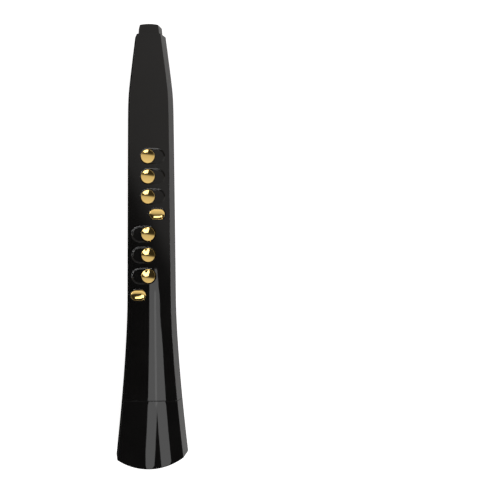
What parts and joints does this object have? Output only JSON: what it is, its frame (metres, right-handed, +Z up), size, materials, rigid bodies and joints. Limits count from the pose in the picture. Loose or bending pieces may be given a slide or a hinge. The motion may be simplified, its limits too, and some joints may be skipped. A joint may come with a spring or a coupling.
{
  "type": "digital wind controller",
  "caption": "Slim electronic wind instrument with a crowned six-sided body, sprung finger keys in wells, thumb keys on the back, a mouthpiece tenon and a flared bell.",
  "frame": {"origin": "middle of the footprint, on the surface that the thumb rest and the rim of the bell rest on", "axes": "+Y along the instrument towards the mouthpiece end, +X to the right seen from the keys, +Z up out of the keys"},
  "size_m": [0.0769, 0.4674, 0.0539],
  "materials": {
    "gloss_black": "polished",
    "gold": "gold plated, polished",
    "satin_black": "satin",
    "steel": "bright",
    "dark_steel": "black",
    "silicone": "matte",
    "circuit_board": "solder mask",
    "ribbon": "matte",
    "clear_plastic": "clear",
    "cell_can": "sleeved",
    "foam": "foam"
  },
  "bodies": {
    "case": {"front_shell": "gloss_black", "rear_shell": "gloss_black", "bell_shell": "gloss_black", "neck_tenon": "gloss_black", "breath_sensor": "satin_black", "breath_tube": "silicone", "key_board": "circuit_board", "main_board": "circuit_board", "board_ribbon": "ribbon", "lamp_light_pipe": "clear_plastic", "lead_socket": "steel", "headphone_socket": "dark_steel", "thumb_rest": "satin_black", "strap_lug": "steel", "battery_cell": "cell_can", "battery_cradle": "satin_black", "speaker_grille": "satin_black", "speaker_gasket": "foam", "speaker_driver": "dark_steel", "upper_key_1_dome": "silicone", "upper_key_2_dome": "silicone", "upper_key_3_dome": "silicone", "lower_key_1_dome": "silicone", "lower_key_2_dome": "silicone", "lower_key_3_dome": "silicone", "upper_side_key_dome": "silicone", "lower_side_key_dome": "silicone", "octave_up_key_dome": "silicone", "octave_down_key_dome": "silicone", "power_switch": "dark_steel", "volume_up_switch": "dark_steel", "volume_down_switch": "dark_steel", "case_screw_1": "steel", "case_screw_2": "steel", "case_screw_3": "steel", "case_screw_4": "steel", "case_screw_5": "steel", "case_screw_6": "steel", "thumb_rest_screw_1": "steel", "key_board_screw_1": "steel", "main_board_screw_1": "steel", "thumb_rest_screw_2": "steel", "key_board_screw_2": "steel", "main_board_screw_2": "steel"},
    "upper_key_1": {"upper_key_1": "gold"},
    "upper_key_2": {"upper_key_2": "gold"},
    "upper_key_3": {"upper_key_3": "gold"},
    "lower_key_1": {"lower_key_1": "gold"},
    "lower_key_2": {"lower_key_2": "gold"},
    "lower_key_3": {"lower_key_3": "gold"},
    "upper_side_key": {"upper_side_key": "gold"},
    "lower_side_key": {"lower_side_key": "gold"},
    "octave_up_key": {"octave_up_key": "gold"},
    "octave_down_key": {"octave_down_key": "gold"},
    "power_button": {"power_button": "satin_black"},
    "volume_up_button": {"volume_up_button": "satin_black"},
    "volume_down_button": {"volume_down_button": "satin_black"},
    "strap_ring": {"strap_ring": "steel"}
  },
  "joints": [
    {"name": "upper_key_1_press", "type": "slide", "parent": "case", "child": "upper_key_1", "axis": [0, 0, 1], "range_m": [-0.0012, 0], "stiffness_N_per_m": 400, "springref_m": 0.001, "deforming": ["upper_key_1_dome"]},
    {"name": "upper_key_2_press", "type": "slide", "parent": "case", "child": "upper_key_2", "axis": [0, 0, 1], "range_m": [-0.0012, 0], "stiffness_N_per_m": 400, "springref_m": 0.001, "deforming": ["upper_key_2_dome"]},
    {"name": "upper_key_3_press", "type": "slide", "parent": "case", "child": "upper_key_3", "axis": [0, 0, 1], "range_m": [-0.0012, 0], "stiffness_N_per_m": 400, "springref_m": 0.001, "deforming": ["upper_key_3_dome"]},
    {"name": "lower_key_1_press", "type": "slide", "parent": "case", "child": "lower_key_1", "axis": [0, 0, 1], "range_m": [-0.0012, 0], "stiffness_N_per_m": 400, "springref_m": 0.001, "deforming": ["lower_key_1_dome"]},
    {"name": "lower_key_2_press", "type": "slide", "parent": "case", "child": "lower_key_2", "axis": [0, 0, 1], "range_m": [-0.0012, 0], "stiffness_N_per_m": 400, "springref_m": 0.001, "deforming": ["lower_key_2_dome"]},
    {"name": "lower_key_3_press", "type": "slide", "parent": "case", "child": "lower_key_3", "axis": [0, 0, 1], "range_m": [-0.0012, 0], "stiffness_N_per_m": 400, "springref_m": 0.001, "deforming": ["lower_key_3_dome"]},
    {"name": "upper_side_key_press", "type": "slide", "parent": "case", "child": "upper_side_key", "axis": [0, 0, 1], "range_m": [-0.0012, 0], "stiffness_N_per_m": 400, "springref_m": 0.001, "deforming": ["upper_side_key_dome"]},
    {"name": "lower_side_key_press", "type": "slide", "parent": "case", "child": "lower_side_key", "axis": [0, 0, 1], "range_m": [-0.0012, 0], "stiffness_N_per_m": 400, "springref_m": 0.001, "deforming": ["lower_side_key_dome"]},
    {"name": "octave_up_key_press", "type": "slide", "parent": "case", "child": "octave_up_key", "axis": [0, 0, 1], "range_m": [0, 0.0012], "stiffness_N_per_m": 400, "springref_m": -0.001, "deforming": ["octave_up_key_dome"]},
    {"name": "octave_down_key_press", "type": "slide", "parent": "case", "child": "octave_down_key", "axis": [0, 0, 1], "range_m": [0, 0.0012], "stiffness_N_per_m": 400, "springref_m": -0.001, "deforming": ["octave_down_key_dome"]},
    {"name": "power_button_press", "type": "slide", "parent": "case", "child": "power_button", "axis": [0, 0, 1], "range_m": [0, 0.0005], "stiffness_N_per_m": 800, "springref_m": -0.0005},
    {"name": "volume_up_button_press", "type": "slide", "parent": "case", "child": "volume_up_button", "axis": [0, 0, 1], "range_m": [0, 0.0005], "stiffness_N_per_m": 800, "springref_m": -0.0005},
    {"name": "volume_down_button_press", "type": "slide", "parent": "case", "child": "volume_down_button", "axis": [0, 0, 1], "range_m": [0, 0.0005], "stiffness_N_per_m": 800, "springref_m": -0.0005},
    {"name": "strap_ring_swing", "type": "hinge", "parent": "case", "child": "strap_ring", "pos_m": [0, 0.0402, 0.007], "axis": [1, 0, 0], "range_deg": [-39, 169]}
  ]
}
